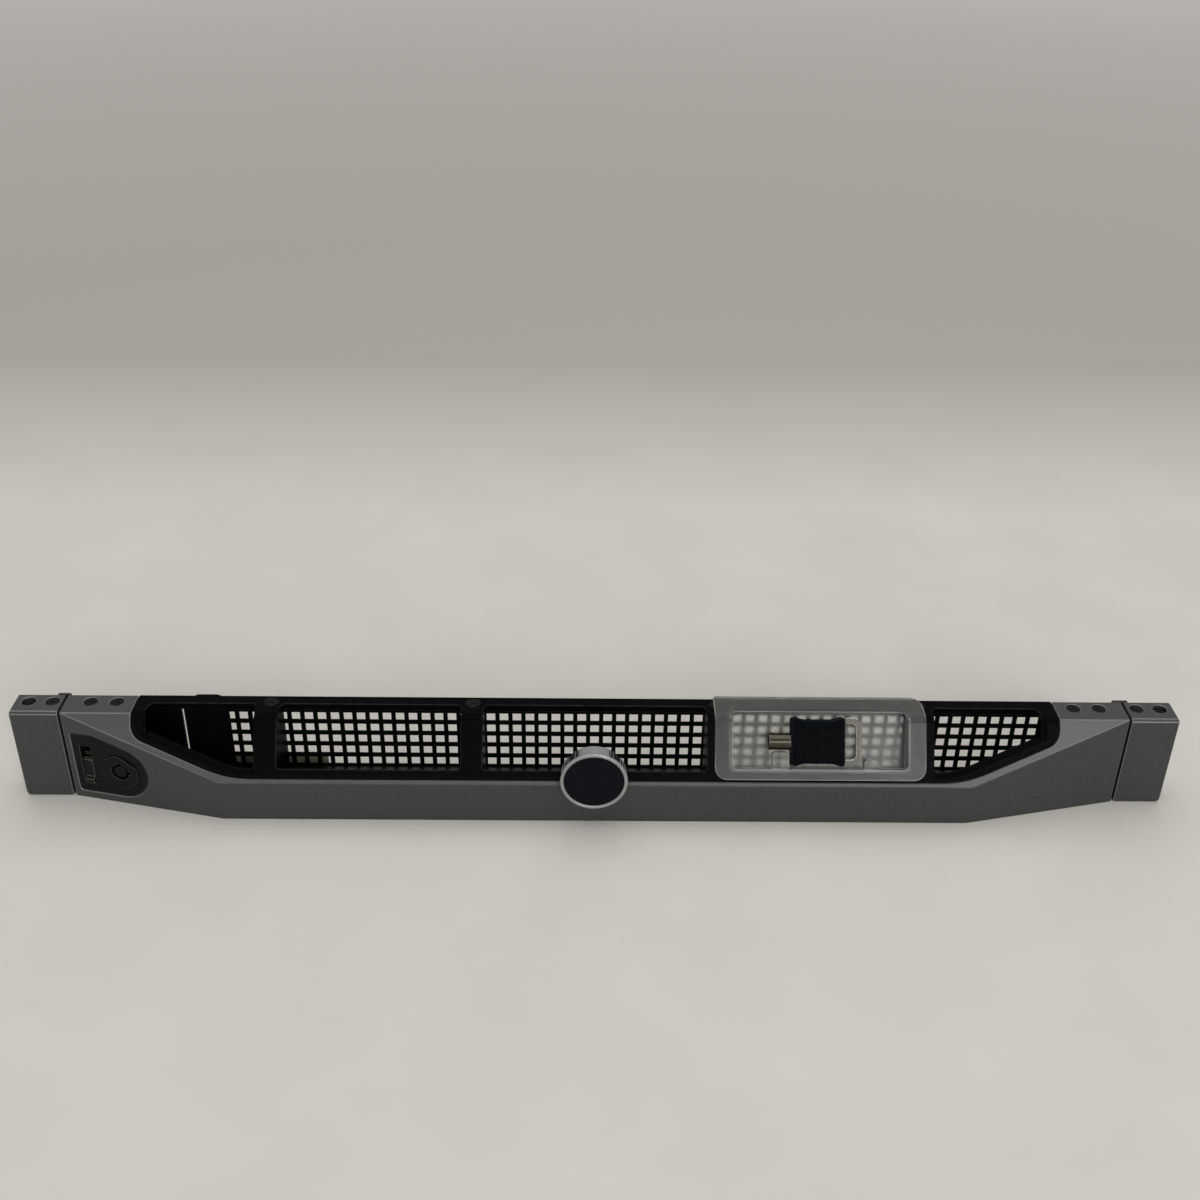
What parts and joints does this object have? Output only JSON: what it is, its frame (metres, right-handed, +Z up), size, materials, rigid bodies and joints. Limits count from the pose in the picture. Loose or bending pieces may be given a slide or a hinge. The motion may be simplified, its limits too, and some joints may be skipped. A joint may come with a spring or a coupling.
{
  "type": "server front bezel",
  "caption": "Long, shallow front bezel for a rack server: slanted grille windows in a moulded frame, key lock and release latch at the left, hooked end caps, badge and key carrier.",
  "frame": {"origin": "middle of the bottom edge of the fascia, on its rear plane", "axes": "+X along the bezel to the right as seen from the front, +Y into the rack, +Z up"},
  "size_m": [0.4824, 0.0412, 0.0438],
  "materials": {
    "fascia_paint": "metallic gunmetal paint, satin",
    "frame_plastic": "fine texture, satin",
    "grille_paint": "black paint",
    "bracket_steel": "plated sheet",
    "black_screws": "black oxide",
    "lock_plastic": "satin",
    "lock_black": "black finish, satin",
    "lock_metal": "plated",
    "spring_steel": "drawn wire",
    "badge_plastic": "ribbed, satin",
    "badge_silver": "satin chrome",
    "badge_gloss": "gloss",
    "carrier_plastic": "translucent, frosted",
    "key_nickel": "nickel plate",
    "key_plastic": "moulded, satin"
  },
  "bodies": {
    "root": {"front_fascia": "fascia_paint", "window_frame": "frame_plastic", "grille": "grille_paint", "left_end_cap": "fascia_paint", "right_end_cap": "fascia_paint", "left_bracket": "bracket_steel", "right_bracket": "bracket_steel", "grille_blank": "grille_paint", "lock_cover": "frame_plastic", "cap_screws": "black_screws", "fascia_screws": "black_screws", "frame_screws": "black_screws", "lock_plate": "lock_plastic", "lock_barrel": "lock_black", "lock_nut": "lock_metal", "latch_spring": "spring_steel", "badge_body": "badge_plastic", "badge_ring": "badge_silver", "badge_face": "badge_gloss", "badge_clips": "lock_metal", "key_carrier": "carrier_plastic", "key_tube": "key_nickel", "key_bow": "key_plastic", "key_loop": "key_nickel"},
    "lock_plug": {"lock_core": "lock_metal", "lock_cam": "lock_metal", "cam_screw": "lock_metal"},
    "release_latch": {"release_slider": "lock_plastic", "latch_hook": "lock_metal"}
  },
  "joints": [
    {"name": "lock_turn", "type": "hinge", "parent": "root", "child": "lock_plug", "pos_m": [-0.19696, -0.01325, 0.0163], "axis": [-0.2236, -0.9747, 0], "range_deg": [0, 90]},
    {"name": "release_slide", "type": "slide", "parent": "root", "child": "release_latch", "axis": [0, 0, 1], "range_m": [0, 0.006], "stiffness_N_per_m": 300, "springref_m": -0.004, "deforming": ["latch_spring"]}
  ]
}
